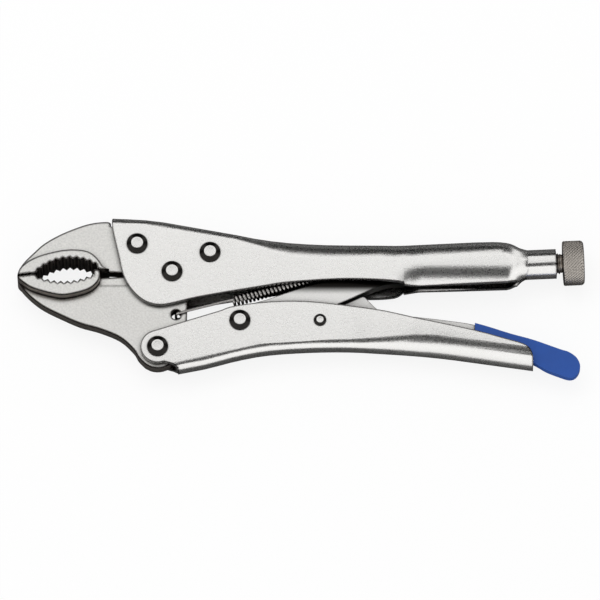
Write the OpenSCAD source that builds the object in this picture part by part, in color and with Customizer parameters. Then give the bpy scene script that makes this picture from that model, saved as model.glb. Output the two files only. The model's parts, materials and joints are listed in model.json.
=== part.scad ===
// Locking pliers with curved jaws, an adjusting screw and a release lever, shown closed.
// The tool lies on its side. In the tool's own frame the jaw pivot is at the origin:
// +X runs back to the knob, +Y up to the fixed handle, and Z through the thickness.

/* [Linkage] */
// Handle pivot of the moving jaw: how far ahead of the jaw pivot it is
foot_ahead = 6.2; // [4:0.1:8]
// Handle pivot of the moving jaw: how far below the jaw pivot it is
foot_drop = 35; // [34:0.1:36.5]
// Link rivet, behind the jaw pivot
link_x = 29.9; // [28:0.1:32]
// Link rivet, below the jaw pivot
link_drop = 22.8; // [22.2:0.1:24]
// Lever rivet, behind the link rivet
lever_back = 35.2; // [33:0.1:38]
// Lever rivet, below the link rivet
lever_drop = 0; // [-0.5:0.1:1.5]
// Space left between the link's end and the screw's tip for the opened loop
link_end_gap = 2.8; // [2.6:0.1:4]

/* [Handles] */
// Thickness of the sheet steel
sheet_t = 2.2; // [1.8:0.1:2.4]
// Outer bend radius of both channels at the jaw end
bend_r = 3.6; // [3.4:0.1:4.2]
// Outer width of the grips
grip_w = 16.4; // [15:0.1:18]
// Jaw pivot to the front edge of the fixed handle
front_ahead = 26.2; // [25:0.1:28]
// Jaw pivot to the start of the screw collar
fixed_len = 155.5; // [150:0.5:165]
// Height of the fixed handle's front corner above the jaw pivot
head_h = 25.8; // [25:0.1:27]
// Height of the fixed handle's waist above the jaw pivot
waist_h = 13.6; // [13:0.1:15]
// Depth of the fixed handle's lobe below the jaw pivot
lobe_drop = 15.6; // [14:0.1:16]
// Depth of the fixed handle's lower edge at the waist
waist_drop = 4; // [3:0.1:5]
// Extra depth of the far wall behind the link
far_wall_extra = 4.9; // [0:0.1:5.5]
// Length of each curled wall of the fixed grip, before its edge is cut
curl_len = 10.6; // [9:0.1:11]
// Depth of the fixed grip's lips at their front
lip_front_drop = 6.7; // [6:0.1:7]
// Depth of the fixed grip's lips at their rear
lip_rear_drop = 4.8; // [4:0.1:6]
// How far each wall of the fixed grip curls in, in degrees
curl_turn = 48; // [30:1:55]
// Jaw pivot to the tail end of the moving handle
moving_len = 158.6; // [152:0.5:166]
// Depth of the moving handle's spine under the link rivet
belly_drop = 39.5; // [39:0.1:41]
// Depth of the moving handle's spine at its highest stretch
arch_drop = 35.2; // [34.8:0.1:37]
// Depth of the moving handle's spine at the tail
tail_drop = 44.2; // [43:0.1:46]
// Height of the moving handle at the tail
tail_h = 8.6; // [8:0.1:10]
// Radius of the moving handle's ear round its pivot
ear_r = 7.5; // [7:0.1:8]

/* [Collar] */
// Length of the collar round the screw
collar_len = 13.6; // [12:0.1:16]
// Collar, across its corners if they were sharp
collar_d = 13.7; // [13.4:0.1:15]
// Radius of the collar's corners
collar_round = 3.8; // [1:0.1:5]

/* [Jaws] */
// Thickness of the jaw plates
plate_t = 6; // [5:0.1:6.4]
// Thickness of the grip pads
grip_t = 14.4; // [12:0.1:16]
// Jaw pivot to the nose
jaw_len = 68; // [66:0.5:72]
// Depth of the parting line at the nose
nose_drop = 2.6; // [2:0.1:3]
// Nose to the front of the mouth
lip_len = 7.6; // [7:0.1:8.4]
// Length of the mouth
mouth_len = 28.5; // [27:0.1:28.8]
// Height of the fixed jaw's arch above the jaw pivot
arch_up = 6.3; // [5.4:0.1:6.6]
// Depth of the moving jaw's arch below the jaw pivot
arch_down = 6.3; // [5.6:0.1:6.6]
// Radius of the fixed jaw's arch
arch_up_r = 22.5; // [21:0.1:25]
// Radius of the moving jaw's arch
arch_down_r = 28.8; // [27:0.1:32]
// Number of teeth across the mouth, in each jaw
mouth_teeth = 10; // [8:1:12]
// Depth of the teeth
tooth_depth = 1.2; // [0.6:0.1:1.4]
// Radius of the moving jaw's eye round the jaw pivot
jaw_eye_r = 10; // [9:0.1:10.5]
// Radius of the moving jaw's foot round its handle pivot
foot_r = 9.3; // [8.5:0.1:9.6]
// Diameter of the spring hole in the moving jaw
spring_hole_d = 4.4; // [3:0.1:4.8]

/* [Rivets] */
// Shank diameter of the large rivets
rivet_d = 5.2; // [4:0.1:6]
// Head diameter of the large rivets
rivet_head_d = 9.2; // [8:0.1:10]
// Head height of the large rivets
rivet_head_h = 1.7; // [1:0.1:2]
// Shank diameter of the lever rivet
small_rivet_d = 3; // [2.4:0.1:3.4]
// Head diameter of the lever rivet
small_head_d = 5.5; // [4.6:0.1:6]
// Head height of the lever rivet
small_head_h = 1; // [0.6:0.1:1.4]

/* [Link and lever] */
// Thickness of the toggle link
link_t = 5.8; // [5:0.1:6]
// Radius of the toggle link's round lug
link_lug_r = 7; // [6:0.1:7.4]
// Thickness of the release lever
lever_t = 2.4; // [2:0.1:3]
// Radius of the release lever's lug
lever_lug_r = 4.2; // [3.6:0.1:4.4]
// Space between the lever's hump and the link
hump_gap = 0.8; // [0.8:0.1:1.4]
// How far the lever's tail reaches past the moving handle
tail_out = 20.6; // [18:0.1:24]
// Thickness of the dipped sleeve on the lever's tail
sleeve_t = 0.7; // [0.4:0.1:1]
// Length of the dipped sleeve
sleeve_len = 46; // [40:0.5:50]

/* [Adjusting screw] */
// Crest diameter of the thread
screw_d = 9.2; // [8.6:0.1:9.4]
// Thread pitch
thread_pitch = 1.25; // [1:0.05:1.5]
// Depth of the thread
thread_depth = 0.6; // [0.4:0.05:0.7]
// Jaw pivot to the screw's tip, along the tool
screw_tip_x = 111.3; // [110:0.1:114]
// Height of the screw's tip above the jaw pivot
screw_tip_y = 2.9; // [2.5:0.1:3.3]
// Rise of the screw towards the knob, in degrees
screw_rise = 2.5; // [2:0.1:3]
// Length of the plain nose at the screw's tip
screw_nose = 4; // [3:0.1:6]
// Gap between the collar and the knob
knob_gap = 2.8; // [1:0.1:5]
// Diameter of the knob
knob_d = 19.8; // [18:0.1:21]
// Length of the knob
knob_len = 9.3; // [8:0.1:12]
// Radius of the knob's rounded rims
knob_round = 1.6; // [0.8:0.1:2]

/* [Tension spring] */
// Diameter of the spring wire
wire_d = 1.15; // [0.9:0.05:1.3]
// Outer diameter of the coil
coil_d = 5.4; // [4.8:0.1:5.6]
// Number of turns in the coil
coil_turns = 28; // [20:1:30]
// Pitch of the coil
coil_pitch = 1.76; // [1.5:0.01:1.8]
// Jaw pivot to the spring's anchor in the fixed handle
anchor_x = 84; // [80:0.5:88]
// Height of the spring's anchor above the jaw pivot
anchor_y = 4.6; // [4:0.1:5.4]

/* [Fits] */
// Space between a jaw plate and each handle wall
side_gap = 0.2; // [0.15:0.05:0.4]
// Radial clearance of a rivet in the piece that turns on it
pin_gap = 0.05; // [0.02:0.01:0.1]
// Radial clearance of a rivet in the walls that hold it
seat_gap = 0.01; // [0:0.01:0.05]
// Space between parts that pass each other
run_gap = 0.4; // [0.3:0.05:0.6]

/* [Hidden] */
$fn = 64;
eps = 0.01;
tall = 60;

channel_in = plate_t + 2 * side_gap;
front_half = channel_in / 2 + sheet_t;
grip_half = grip_w / 2;

jaw_pivot = [0, 0];
foot_pivot = [-foot_ahead, -foot_drop];
link_pivot = [link_x, -link_drop];
lever_pivot = link_pivot + [lever_back, -lever_drop];
front_rivet_at = [-15.4, 13];
rear_rivet_at = [16.7, 9];
spring_hook_at = [1.8, -19.4];
spring_anchor_at = [anchor_x, anchor_y];

screw_dir = [cos(screw_rise), sin(screw_rise)];
screw_tip = [screw_tip_x, screw_tip_y];
screw_len = (fixed_len + collar_len + knob_gap - screw_tip_x) / screw_dir[0];
collar_y = screw_tip_y + (fixed_len - screw_tip_x) * tan(screw_rise);
knob_end_x = screw_tip_x + (screw_len + knob_len) * screw_dir[0];

// The part's own frame: the middle of its outline lies over the origin, and its
// lowest point, the knob's rim, at z = 0.
part_front = -jaw_len;
part_back = knob_end_x + knob_d / 2 * screw_dir[1];
part_top = head_h;
lever_tip_drop = tail_drop + 3.7 + sleeve_t;
frame_shift = [-(part_front + part_back) / 2, -(part_top - lever_tip_drop) / 2, knob_d / 2];

steel = [0.78, 0.78, 0.77];
dark_steel = [0.5, 0.48, 0.46];
blue_vinyl = [0.2, 0.33, 0.62];

// ---------- curves ----------

function mix(a, b, t) = a + (b - a) * t;
function clamp01(t) = min(1, max(0, t));
function ease(a, b, x) = let (t = clamp01((x - a) / (b - a))) t * t * (3 - 2 * t);
function unit(v) = v / norm(v);
function arc(centre, r, a0, a1, n) =
    [for (i = [0:n]) let (a = mix(a0, a1, i / n)) centre + r * [cos(a), sin(a)]];

// A smooth curve through the points, with n steps between each pair.
function spline_at(a, b, c, d, t) =
    0.5 * (2 * b + (c - a) * t + (2 * a - 5 * b + 4 * c - d) * t * t
    + (3 * b - a - 3 * c + d) * t * t * t);
function curve(p, n) =
    let (last = len(p) - 1)
    [for (i = [0:last - 1]) for (k = [0:n - 1])
        spline_at(p[max(0, i - 1)], p[i], p[i + 1], p[min(last, i + 2)], k / n),
    p[last]];

// The same outline moved sideways by d (to the right of its direction).
function shifted(p, d) =
    [for (i = [0:len(p) - 1])
        let (t = unit(p[min(len(p) - 1, i + 1)] - p[max(0, i - 1)]))
        p[i] + d * [t[1], -t[0]]];

module slab(outline, t) {
    translate([0, 0, -t / 2])
        linear_extrude(t)
            polygon(outline);
}

module bore(at, d) {
    translate([at[0], at[1], -tall / 2])
        cylinder(d = d, h = tall);
}

module placed() {
    translate(frame_shift)
        children();
}

// ---------- folded channels ----------

// Outer half of a channel's section: points [y, z] with their outward normals, from
// the lip, along the wall and round the bend, to the flat of the spine.
// s holds: spine height, half-width, depth of the bend, height where the wall starts to
// curl, length of the curled stretch, its angle, and the straight length beyond it.
wall_steps = 6;
bend_steps = 6;
function wall_point(s, i) =
    let (t = min(i / wall_steps, 1), past = i > wall_steps ? s[6] : 0, turn = s[5] * t,
        r = s[5] < 1 ? 0 : s[4] / (s[5] * PI / 180),
        down = s[5] < 1 ? s[4] * t : r * sin(turn), inward = r * (1 - cos(turn)))
    [[s[3] - down - past * cos(turn), s[1] - inward - past * sin(turn)],
        [-sin(turn), cos(turn)]];
function bend_point(s, i) =
    let (b = 90 - 90 * i / bend_steps, across = min(s[2], s[1]))
    [[s[0] - s[2] + s[2] * cos(b), s[1] - across + across * sin(b)],
        unit([cos(b) / s[2], sin(b) / across])];
function half_section(s) = concat(
    [for (i = [wall_steps + 1:-1:0]) wall_point(s, i)],
    [for (i = [0:bend_steps]) bend_point(s, i)]);
function mirrored(h) =
    [for (i = [len(h) - 1:-1:0]) [[h[i][0][0], -h[i][0][1]], [h[i][1][0], -h[i][1][1]]]];
function section_ring(x, s, up) =
    let (h = half_section(s), whole = concat(h, mirrored(h)), n = len(whole))
    concat(
        [for (i = [0:n - 1]) [x, up * whole[i][0][0], whole[i][0][1]]],
        [for (i = [n - 1:-1:0])
            let (q = whole[i][0] - sheet_t * whole[i][1]) [x, up * q[0], q[1]]]);

// A channel swept through the stations [x, section]. With up = -1 the spine is below.
module channel(stations, up) {
    rings = [for (st = stations) section_ring(st[0], st[1], up)];
    p = len(rings[0]);
    m = p / 2;
    last = len(rings) - 1;
    sides = [for (i = [0:last - 1]) for (k = [0:p - 1])
        let (a = i * p + k, b = i * p + (k + 1) % p)
        each [[a, b, b + p], [a, b + p, a + p]]];
    front_cap = [for (k = [0:m - 2])
        each [[k, p - 1 - k, p - 2 - k], [k, p - 2 - k, k + 1]]];
    back_cap = [for (k = [0:m - 2])
        let (o = last * p)
        each [[o + k, o + p - 2 - k, o + p - 1 - k], [o + k, o + k + 1, o + p - 2 - k]]];
    faces = concat(sides, front_cap, back_cap);
    flipped = [for (f = faces) [f[2], f[1], f[0]]];
    polyhedron(points = [for (r = rings) each r], faces = up > 0 ? faces : flipped);
}

// ---------- fixed handle ----------

deep = 24;
curl_from = 2.4;
notch_x = 102;
taper_x = fixed_len - 8;
function fixed_spine() = curve([
    [-front_ahead - 0.6, head_h],
    [-10, head_h - 0.9],
    [4, mix(waist_h, head_h, 0.74)],
    [26, mix(waist_h, head_h, 0.4)],
    [46, mix(waist_h, head_h, 0.155)],
    [66, mix(waist_h, head_h, 0.035)],
    [90, waist_h],
    [notch_x, waist_h - 0.1],
    [122, waist_h + 0.9],
    [fixed_len - 15, waist_h + 1.6],
    [fixed_len - 7, waist_h + 0.9],
    [fixed_len - 2.6, mix(waist_h, collar_y + collar_d / 2, 0.6)],
    [fixed_len + 1, collar_y + collar_d / 2 - 0.3]], 6);
function fixed_section(x, top) =
    let (widen = ease(56, 116, x), close = ease(taper_x, fixed_len + 1, x),
        curl = ease(98, 110, x), end_r = collar_d / 2 - 0.35,
        half = mix(mix(front_half, grip_half, widen), end_r, close))
    [top, half, mix(mix(bend_r, grip_half, ease(26, 54, x)), end_r, close),
        mix(curl_from, collar_y, close), mix(curl_len, end_r * PI * 0.44, close),
        mix(curl_turn * curl, 80, close), x < notch_x ? deep : eps];
function fixed_stations() =
    let (line = fixed_spine())
    [for (x = concat([line[0][0]], [for (i = [0:14]) mix(-20, 92, i / 14)],
            [98, 100, notch_x - 0.1, notch_x, 104, 106, 108, 110, 113, 118, 125, 133],
            [for (d = [-14, -11, -8.5, -6.5, -5, -3.8, -2.6, -1.4, 0, 1]) fixed_len + d]))
        [x, fixed_section(x, lookup(x, line))]];

// Side view of the fixed handle, as a wall is cut. extra deepens the edge under the
// waist.
function fixed_cut(extra) = concat(
    [[fixed_len + 5, tall], [-front_ahead, tall]],
    curve([
        [-front_ahead, head_h],
        [-front_ahead - 0.2, head_h - 5.3],
        [-front_ahead + 2.9, 6.2],
        [-front_ahead + 4.4, -0.6],
        [-19.6, -lobe_drop + 9.8],
        [-16, -lobe_drop + 5],
        [-11.5, -lobe_drop + 1.5],
        [-6, -lobe_drop],
        [0, -lobe_drop + 0.7 - extra * 0.1],
        [12, -lobe_drop + 3.7 - extra * 0.24],
        [38.7, -waist_drop - 3.1 - extra * 0.34],
        [52, -waist_drop - 1 - extra * 0.5],
        [72, -waist_drop + 0.2 - extra],
        [87, -waist_drop - 0.2 - extra],
        [98, -waist_drop - 1.2 - extra * 0.6],
        [notch_x, -waist_drop - 1.8]], 4),
    [[notch_x + eps, -lip_front_drop], [taper_x, -lip_rear_drop],
    [taper_x + 4, -lip_rear_drop + 1], [taper_x + 6.5, -lip_rear_drop - 6],
    [fixed_len + 5, -tall]]);

// A tongue lanced from the spine: it hangs down inside the spring's rear hook.
tab_half = 1;
tab_below = 1.5;
module spring_tab() {
    top = waist_h - sheet_t / 2;
    translate([anchor_x, anchor_y - tab_below, -tab_half])
        cube([1.3, top - anchor_y + tab_below, 2 * tab_half]);
}

// An octagon with rounded corners.
function collar_outline() =
    let (corner = 22.5, centre_r = (collar_d / 2 * cos(corner) - collar_round) / cos(corner))
    [for (k = [0:7]) let (a = 45 * k + corner)
        each arc(centre_r * [cos(a), sin(a)], collar_round, a - corner, a + corner, 4)];

module fixed_handle() {
    color(steel)
    placed()
    difference() {
        union() {
            intersection() {
                channel(fixed_stations(), 1);
                union() {
                    linear_extrude(tall)
                        polygon(fixed_cut(0));
                    translate([0, 0, -tall])
                        linear_extrude(tall)
                            polygon(fixed_cut(far_wall_extra));
                }
            }
            spring_tab();
            translate([fixed_len, collar_y, 0])
                rotate([0, 90, screw_rise])
                    linear_extrude(collar_len / screw_dir[0])
                        polygon(collar_outline());
        }
        screw_hole();
        bore(jaw_pivot, rivet_d + 2 * seat_gap);
        bore(front_rivet_at, rivet_d + 2 * seat_gap);
        bore(rear_rivet_at, rivet_d + 2 * seat_gap);
    }
}

module screw_hole() {
    translate([screw_tip[0], screw_tip[1], 0])
        rotate([0, 90, screw_rise])
            cylinder(d = screw_d + 2 * pin_gap, h = screw_len + 5);
}

// ---------- jaws ----------

mouth_front = -jaw_len + lip_len;
mouth_back = mouth_front + mouth_len;
stub_x = mouth_back - 2.4;
parting_y = 0.3;
half_line = run_gap / 2;
lip_rise = 1;

// One side of the mouth: an arch of teeth. mid is the x of the arch's highest point,
// peak its height, r its radius, and side +1 for the fixed jaw or -1 for the moving jaw.
// It ends in the root of its last tooth.
function arch(mid, peak, r, side) =
    let (a = asin((mouth_front - mid) / r), b = asin((mouth_back - mid) / r),
        centre = [mid, peak - side * r], n = 2 * mouth_teeth)
    [for (i = [0:n - 1])
        let (c = mix(a, b, i / n), rr = i % 2 == 0 ? r - tooth_depth : r)
        centre + [rr * sin(c), side * rr * cos(c)]];

// The line between the tips, with small serrations cut into both jaws.
tip_teeth = 4;
tip_tooth = 0.45;
function lips(side) =
    let (pitch = (lip_len - 1.6) / tip_teeth)
    [for (i = [0:2 * tip_teeth])
        let (along = pitch * i / 2)
        [-jaw_len + along, -nose_drop + lip_rise * along / lip_len
            + side * (half_line + (i % 2 == 1 ? tip_tooth : 0))]];

// The edge of each jaw from the nose, through the mouth, to the line behind it.
function fixed_bite() = concat(
    lips(1),
    arch(-jaw_len + 23.5, arch_up, arch_up_r, 1),
    [[mouth_back - 0.8, parting_y + half_line + 0.2], [mouth_back + 1, parting_y + half_line]]);
function moving_bite() = concat(
    lips(-1),
    [for (q = arch(-jaw_len + 20.2, -arch_down, arch_down_r, -1))
        if (q[0] < stub_x) q],
    [[stub_x, -2.9], [stub_x, parting_y - half_line], [stub_x + 2.2, parting_y - half_line]]);

function fixed_pad() = concat(fixed_bite(), curve([
    [-jaw_len + 40.4, parting_y + half_line],
    [-jaw_len + 37.8, 1.5],
    [-jaw_len + 36.3, 3.9],
    [-jaw_len + 34.4, 6.3],
    [-jaw_len + 31.8, 8.3],
    [-jaw_len + 28.6, 9.3],
    [-jaw_len + 23.7, 9.6],
    [-jaw_len + 18.7, 9.1],
    [-jaw_len + 11.2, 7.2],
    [-jaw_len + 6.1, 5],
    [-jaw_len + 3, 2.8],
    [-jaw_len + 1, 0.6],
    [-jaw_len, -nose_drop + half_line]], 4));
function moving_pad() = concat(moving_bite(), curve([
    [-jaw_len + 36.2, -0.5],
    [-jaw_len + 36.3, -3.4],
    [-jaw_len + 34.6, -6.5],
    [-jaw_len + 30.4, -9.4],
    [-jaw_len + 21.8, -11.6],
    [-jaw_len + 15.9, -11.2],
    [-jaw_len + 7, -8.6],
    [-jaw_len + 2.9, -6.1],
    [-jaw_len + 0.6, -nose_drop - 1.5],
    [-jaw_len, -nose_drop - half_line]], 4));

tang_top = sheet_t + 1.1;
function fixed_plate() = concat(
    fixed_bite(),
    [[-21, 0.1], [-jaw_eye_r - run_gap, 0.1]],
    arc(jaw_pivot, jaw_eye_r + run_gap, 175, 8, 16),
    curve([
        [18, 1.5],
        [25, 3],
        [28.4, 8],
        [27, mix(waist_h, head_h, 0.38) - tang_top],
        [16, mix(waist_h, head_h, 0.57) - tang_top],
        [4, mix(waist_h, head_h, 0.73) - tang_top],
        [-10, head_h - 1.2 - tang_top],
        [-front_ahead, head_h - 0.8 - tang_top],
        [-front_ahead - 0.8, head_h - 2.6],
        [-front_ahead - 2.6, head_h - 1.8],
        [-34.5, head_h - 2.3],
        [-40.3, head_h - 3.9],
        [-49, 18.2],
        [-jaw_len + 11.7, 13.8],
        [-jaw_len + 7, 9.4],
        [-jaw_len + 3, 5.2],
        [-jaw_len + 0.8, 1.6],
        [-jaw_len, -nose_drop + half_line]], 3));
function moving_plate() = concat(
    moving_bite(),
    [[mouth_back + 0.4, -2.2], [-21, -1.7], [-jaw_eye_r + 0.3, -1.5]],
    arc(jaw_pivot, jaw_eye_r, 172, -38, 16),
    curve([
        [6.6, -12.6],
        [6.4, -22.9],
        [foot_pivot[0] + 10.2, foot_pivot[1] + 4],
        foot_pivot + foot_r * [cos(-5), sin(-5)]], 4),
    arc(foot_pivot, foot_r, -20, -110, 10),
    curve([
        foot_pivot + foot_r * [cos(-125), sin(-125)],
        foot_pivot + [-8.3, -4.5],
        foot_pivot + [-10.5, -0.8],
        foot_pivot + [-16.5, 4.9],
        foot_pivot + [-25.5, 8.9],
        [-40.5, -23.5],
        [-jaw_len + 18.4, -19.3],
        [-jaw_len + 11.8, -15.8],
        [-jaw_len + 7.1, -12.3],
        [-jaw_len + 3, -8.2],
        [-jaw_len + 0.8, -5],
        [-jaw_len, -nose_drop - half_line]], 4));

module fixed_jaw() {
    color(steel)
    placed()
    difference() {
        union() {
            slab(fixed_plate(), plate_t);
            slab(fixed_pad(), grip_t);
        }
        bore(front_rivet_at, rivet_d + 2 * seat_gap);
        bore(rear_rivet_at, rivet_d + 2 * seat_gap);
    }
}

module moving_jaw() {
    ledge_depth = 0.3;
    color(steel)
    placed()
    difference() {
        union() {
            slab(moving_plate(), plate_t);
            slab(moving_pad(), grip_t);
        }
        // A shallow ledge on both faces beside the line between the jaws.
        for (side = [-1, 1])
            translate([mouth_back, -6, side * plate_t / 2 - ledge_depth])
                cube([18, 8, 2 * ledge_depth]);
        bore(jaw_pivot, rivet_d + 2 * pin_gap);
        bore(foot_pivot, rivet_d + 2 * pin_gap);
        bore(spring_hook_at, spring_hole_d);
    }
}

// ---------- moving handle ----------

spine_from = foot_pivot[0] + 9;
widen_from = 72;
widen_to = 118;
function moving_spine() = curve([
    [spine_from - 17.6, belly_drop + 10],
    [spine_from, belly_drop + 6],
    [spine_from + 12.3, belly_drop + 3.5],
    [link_pivot[0] - 2, belly_drop],
    [link_pivot[0] + 11, mix(belly_drop, arch_drop, 0.6)],
    [lever_pivot[0] - 8, arch_drop + 0.4],
    [lever_pivot[0] + 10, arch_drop],
    [91, arch_drop + 0.8],
    [116, mix(arch_drop, tail_drop, 0.33)],
    [141, mix(arch_drop, tail_drop, 0.71)],
    [moving_len, tail_drop]], 6);
function moving_section(x, drop) =
    let (widen = ease(widen_from, widen_to, x))
    [drop, mix(front_half, grip_half, widen), mix(bend_r, grip_half - 0.4, widen),
        drop - mix(bend_r, grip_half - 0.4, widen), deep, 0, eps];
function moving_stations() =
    let (line = moving_spine())
    [for (x = concat([line[0][0]], [for (i = [0:28]) mix(spine_from - 6, moving_len, i / 28)]))
        [x, moving_section(x, lookup(x, line))]];
ear_tangent = 110;
tail_corner = [moving_len, -tail_drop + tail_h];
function moving_cut() = concat(
    arc(foot_pivot, ear_r, 292, ear_tangent, 20),
    curve([
        link_pivot + [-8, 4.7],
        link_pivot + [-2.6, 6.6],
        link_pivot + [11.5, 8.5],
        lever_pivot + [-7.9, 8.9],
        lever_pivot + [8.8, 7.3],
        lever_pivot + [25, 4.7],
        lever_pivot + [33, 2.8],
        [109, -22.9],
        tail_corner + [-25.6, 7.2],
        tail_corner + [-9, 2.4],
        tail_corner + [-6.9, 1.8],
        tail_corner + [-3.6, 0.5],
        tail_corner + [-1.5, -1.2],
        tail_corner + [-0.3, -3.6],
        tail_corner - [0, 5.6]], 4),
    [[moving_len, -tall], [spine_from, -tall], [spine_from, foot_pivot[1] - 9.4],
    [spine_from - 2, foot_pivot[1] - 8.2]]);

module moving_handle() {
    color(steel)
    placed()
    difference() {
        intersection() {
            channel(moving_stations(), -1);
            translate([0, 0, -tall / 2])
                linear_extrude(tall)
                    polygon(moving_cut());
        }
        bore(foot_pivot, rivet_d + 2 * seat_gap);
        bore(link_pivot, rivet_d + 2 * seat_gap);
        bore(lever_pivot, small_rivet_d + 2 * seat_gap);
    }
}

// ---------- toggle link ----------

// Places in the link's own frame: along it from its rivet to the screw, and across.
link_to = screw_tip - [0, 0.9];
link_span = norm(link_to - link_pivot);
link_dir = (link_to - link_pivot) / link_span;
function on_link(along, across) =
    link_pivot + along * link_dir + across * [-link_dir[1], link_dir[0]];
link_end = link_span - link_end_gap;
function link_under() = [
    on_link(20, -6.3), on_link(34, -5.6), on_link(46, -4.3), on_link(55, -3),
    on_link(61, -2.1), on_link(67, -2.1), on_link(link_end - 9, -3.3),
    on_link(link_end - 2.4, -3.4)];
function link_over() = [
    on_link(link_end - 2, 4), on_link(link_end - 8, 5.6), on_link(58, 6.4),
    on_link(44, 6.8), on_link(31, 7.3), on_link(14, 6.6)];
link_tilt = atan2(link_dir[1], link_dir[0]);
function link_outline() = concat(
    arc(link_pivot, link_lug_r, link_tilt + 100, link_tilt + 270, 16),
    curve(concat(link_under(), [on_link(link_end, 0.4)], link_over()), 4));

module toggle_link() {
    color(steel)
    placed()
    difference() {
        slab(link_outline(), link_t);
        bore(link_pivot, rivet_d + 2 * pin_gap);
    }
}

// ---------- release lever ----------

tip_x = moving_len + tail_out;
function lever_outline() = concat(
    arc(lever_pivot, lever_lug_r, 270, 100, 12),
    [on_link(46, -4.3 - hump_gap), on_link(55.2, -3 - hump_gap)],
    curve([
        on_link(56.2, -3.6 - hump_gap),
        lever_pivot + [23.4, 8.2],
        lever_pivot + [26, 6.1],
        lever_pivot + [30, 4.3],
        lever_pivot + [36, 3.6],
        [108, -19.9],
        [120, -21.4],
        [133.3, -tail_drop + tail_h + 12],
        [moving_len - 10, -tail_drop + 15.7],
        [moving_len, -tail_drop + 12.8],
        [tip_x - 8.8, -tail_drop + 8.4],
        [tip_x - 5.2, -tail_drop + 7.2],
        [tip_x - 1.9, -tail_drop + 4.6],
        [tip_x - 0.6, -tail_drop + 1],
        [tip_x - 1.9, -tail_drop - 2.4],
        [tip_x - 4.6, -tail_drop - 3.6],
        [tip_x - 9.6, -tail_drop - 2],
        [moving_len + 6, -tail_drop + 0.1],
        [moving_len, -tail_drop + 3.6],
        [moving_len - 9, -tail_drop + 6.6],
        [133, -36.6],
        [112, -32.8],
        [90, -30.6],
        [76, -29.2],
        lever_pivot + [4, -lever_lug_r]], 4));

module release_lever() {
    color(steel)
    placed()
    difference() {
        slab(lever_outline(), lever_t);
        bore(lever_pivot, small_rivet_d + 2 * pin_gap);
    }
}

sleeve_from = tip_x - sleeve_len;
module lever_sleeve() {
    skin = shifted(lever_outline(), -sleeve_t);
    color(blue_vinyl)
    placed()
    difference() {
        intersection() {
            slab(skin, lever_t + 2 * sleeve_t);
            translate([sleeve_from, -tall * 2, -tall])
                cube([tall * 2, tall * 3, tall * 2]);
        }
        slab(lever_outline(), lever_t);
    }
}

module lever_spacers() {
    space = (channel_in - lever_t) / 2 - spacer_gap - wall_gap;
    color(dark_steel)
    placed()
    for (side = [-1, 1])
        translate([lever_pivot[0], lever_pivot[1],
            side * (lever_t / 2 + spacer_gap + space / 2)])
            difference() {
                cylinder(d = small_head_d + 0.8, h = space, center = true);
                cylinder(d = small_rivet_d + 2 * pin_gap, h = tall, center = true);
            }
}
spacer_gap = 0.1;
wall_gap = 0.05;

// ---------- rivets ----------

// A rivet through walls whose outer faces are 2 * half apart, with a low dome of a
// head on each side.
module rivet(at, d, head_d, head_h, half) {
    flat_d = head_d * 0.56;
    swell = (head_d - flat_d) / 2;
    profile = concat(
        [[0, 0], [0, half + head_h]],
        [for (i = [0:6])
            let (b = 90 - 90 * i / 6)
            [flat_d / 2 + swell * cos(b), half + head_h * (0.2 + 0.8 * sin(b))]],
        [[head_d / 2, half], [d / 2, half], [d / 2, 0]]);
    translate([at[0], at[1], 0])
        for (side = [0, 1])
            mirror([0, 0, side])
                rotate_extrude()
                    polygon(profile);
}

module big_rivet(at) {
    color(dark_steel)
    placed()
        rivet(at, rivet_d, rivet_head_d, rivet_head_h, front_half);
}

module front_jaw_rivet() { big_rivet(front_rivet_at); }
module rear_jaw_rivet() { big_rivet(rear_rivet_at); }
module jaw_pivot_rivet() { big_rivet(jaw_pivot); }
module handle_pivot_rivet() { big_rivet(foot_pivot); }
module link_rivet() { big_rivet(link_pivot); }
module lever_rivet() {
    color(dark_steel)
    placed()
        rivet(lever_pivot, small_rivet_d, small_head_d, small_head_h, front_half);
}

// ---------- adjusting screw ----------

module on_screw() {
    translate([screw_tip[0], screw_tip[1], 0])
        rotate([0, 90, screw_rise])
            children();
}

thread_from = screw_nose + 1;
thread_turns = floor((screw_len - thread_from) / thread_pitch);
root_r = screw_d / 2 - thread_depth;
stem_d = 6;
stem_len = knob_len - 1.6;
module adjusting_screw() {
    thread_end = thread_from + thread_turns * thread_pitch;
    profile = concat(
        [[0, 0], [root_r - 1.4, 0], [root_r - 0.4, 1], [root_r - 0.4, screw_nose]],
        [for (i = [0:thread_turns - 1])
            let (z = thread_from + i * thread_pitch)
            each [[root_r, z], [screw_d / 2, z + 0.4 * thread_pitch],
                [screw_d / 2, z + 0.6 * thread_pitch]]],
        [[root_r, thread_end], [root_r, screw_len], [stem_d / 2, screw_len],
        [stem_d / 2, screw_len + stem_len], [0, screw_len + stem_len]]);
    color(dark_steel)
    placed()
    on_screw()
        rotate_extrude()
            polygon(profile);
}

module adjusting_knob() {
    seat = 0.1;
    inner_round = 0.6;
    profile = concat(
        [[stem_d / 2 + pin_gap, seat]],
        arc([knob_d / 2 - inner_round, inner_round + seat], inner_round, -90, 0, 4),
        arc([knob_d / 2 - knob_round, knob_len - knob_round], knob_round, 0, 90, 6),
        [[0, knob_len], [0, stem_len + seat], [stem_d / 2 + pin_gap, stem_len + seat]]);
    color(dark_steel)
    placed()
    on_screw()
        translate([0, 0, screw_len])
            rotate_extrude()
                polygon(profile);
}

// ---------- tension spring ----------

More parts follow.
